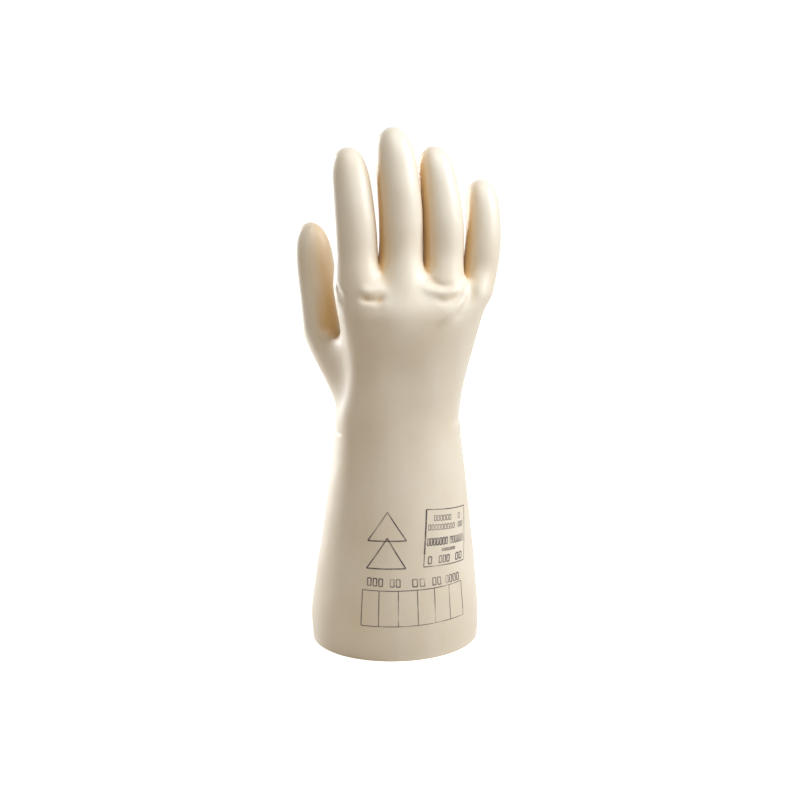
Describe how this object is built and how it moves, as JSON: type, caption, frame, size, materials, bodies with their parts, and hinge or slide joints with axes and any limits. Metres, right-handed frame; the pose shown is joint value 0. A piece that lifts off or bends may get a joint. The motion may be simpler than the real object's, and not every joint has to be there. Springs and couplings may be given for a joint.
{
  "type": "electrical insulating glove",
  "caption": "Long latex insulating glove for the right hand: flared open gauntlet, narrow wrist, straight fingers and a thumb set in front of the palm.",
  "frame": {"origin": "centre of the bounding box, at the cuff's rim, which the glove stands on", "axes": "+Z from the cuff's rim to the fingertips, +Y from the back of the hand to the palm, +X from the thumb's side to the little finger's"},
  "size_m": [0.137, 0.109, 0.3604],
  "materials": {
    "latex": "satin natural latex"
  },
  "bodies": {
    "gauntlet_cuff": {"gauntlet_cuff": "latex"},
    "hand_shell": {"hand_shell": "latex"},
    "index_middle": {"index_middle": "latex"},
    "index_proximal": {"index_proximal": "latex"},
    "index_tip": {"index_tip": "latex"},
    "little_middle": {"little_middle": "latex"},
    "little_proximal": {"little_proximal": "latex"},
    "little_tip": {"little_tip": "latex"},
    "middle_middle": {"middle_middle": "latex"},
    "middle_proximal": {"middle_proximal": "latex"},
    "middle_tip": {"middle_tip": "latex"},
    "ring_middle": {"ring_middle": "latex"},
    "ring_proximal": {"ring_proximal": "latex"},
    "ring_tip": {"ring_tip": "latex"},
    "thumb_proximal": {"thumb_proximal": "latex"},
    "thumb_tip": {"thumb_tip": "latex"},
    "wrist_sleeve": {"wrist_sleeve": "latex"}
  },
  "joints": [
    {"name": "wrist_fold", "type": "hinge", "parent": "gauntlet_cuff", "child": "wrist_sleeve", "pos_m": [-0.0025, 0.0325, 0.146], "axis": [-1, 0, 0], "range_deg": [0, 30], "stiffness_Nm_per_rad": 1},
    {"name": "wrist_lift", "type": "hinge", "parent": "wrist_sleeve", "child": "hand_shell", "pos_m": [-0.00309, -0.0327, 0.163], "axis": [1, 0, 0], "range_deg": [0, 30], "stiffness_Nm_per_rad": 1},
    {"name": "index_knuckle", "type": "hinge", "parent": "hand_shell", "child": "index_proximal", "pos_m": [-0.031, 0.00068, 0.2732], "axis": [-0.9858, 0.1627, -0.0421], "range_deg": [0, 60], "stiffness_Nm_per_rad": 0.12},
    {"name": "index_middle_joint", "type": "hinge", "parent": "index_proximal", "child": "index_middle", "pos_m": [-0.03176, 0.00354, 0.29432], "axis": [-0.9838, 0.1623, -0.0764], "range_deg": [0, 70], "stiffness_Nm_per_rad": 0.08},
    {"name": "index_tip_joint", "type": "hinge", "parent": "index_middle", "child": "index_tip", "pos_m": [-0.03314, 0.00737, 0.31634], "axis": [-0.9808, 0.1618, -0.1091], "range_deg": [0, 45], "stiffness_Nm_per_rad": 0.06},
    {"name": "middle_knuckle", "type": "hinge", "parent": "hand_shell", "child": "middle_proximal", "pos_m": [-0.00104, 0.00131, 0.27731], "axis": [-0.9944, 0.1044, 0.0187], "range_deg": [0, 60], "stiffness_Nm_per_rad": 0.12},
    {"name": "middle_middle_joint", "type": "hinge", "parent": "middle_proximal", "child": "middle_middle", "pos_m": [-0.0009, 0.00421, 0.30319], "axis": [-0.9938, 0.1044, -0.0377], "range_deg": [0, 70], "stiffness_Nm_per_rad": 0.08},
    {"name": "middle_tip_joint", "type": "hinge", "parent": "middle_middle", "child": "middle_tip", "pos_m": [-0.00208, 0.00799, 0.3281], "axis": [-0.9896, 0.1039, -0.0994], "range_deg": [0, 45], "stiffness_Nm_per_rad": 0.06},
    {"name": "ring_knuckle", "type": "hinge", "parent": "hand_shell", "child": "ring_proximal", "pos_m": [0.02822, 0.0007, 0.2725], "axis": [-0.995, 0.0895, 0.0436], "range_deg": [0, 60], "stiffness_Nm_per_rad": 0.12},
    {"name": "ring_middle_joint", "type": "hinge", "parent": "ring_proximal", "child": "ring_middle", "pos_m": [0.02857, 0.00358, 0.29438], "axis": [-0.9949, 0.0895, -0.0457], "range_deg": [0, 70], "stiffness_Nm_per_rad": 0.08},
    {"name": "ring_tip_joint", "type": "hinge", "parent": "ring_middle", "child": "ring_tip", "pos_m": [0.02708, 0.0074, 0.31668], "axis": [-0.987, 0.0888, -0.1339], "range_deg": [0, 45], "stiffness_Nm_per_rad": 0.06},
    {"name": "little_knuckle", "type": "hinge", "parent": "hand_shell", "child": "little_proximal", "pos_m": [0.05343, -0.00098, 0.2626], "axis": [-0.974, 0.0974, 0.2046], "range_deg": [0, 60], "stiffness_Nm_per_rad": 0.12},
    {"name": "little_middle_joint", "type": "hinge", "parent": "little_proximal", "child": "little_middle", "pos_m": [0.05663, 0.00131, 0.28119], "axis": [-0.9907, 0.0991, 0.0932], "range_deg": [0, 70], "stiffness_Nm_per_rad": 0.08},
    {"name": "little_tip_joint", "type": "hinge", "parent": "little_middle", "child": "little_tip", "pos_m": [0.05784, 0.00466, 0.29958], "axis": [-0.9946, 0.0995, -0.0285], "range_deg": [0, 45], "stiffness_Nm_per_rad": 0.06},
    {"name": "thumb_knuckle", "type": "hinge", "parent": "hand_shell", "child": "thumb_proximal", "pos_m": [-0.03865, 0.03834, 0.22533], "axis": [0.3282, -0.9189, 0.2188], "range_deg": [-25, 0], "stiffness_Nm_per_rad": 0.15},
    {"name": "thumb_tip_joint", "type": "hinge", "parent": "thumb_proximal", "child": "thumb_tip", "pos_m": [-0.04331, 0.04289, 0.25619], "axis": [0.3321, -0.9298, 0.1586], "range_deg": [-40, 0], "stiffness_Nm_per_rad": 0.08}
  ]
}
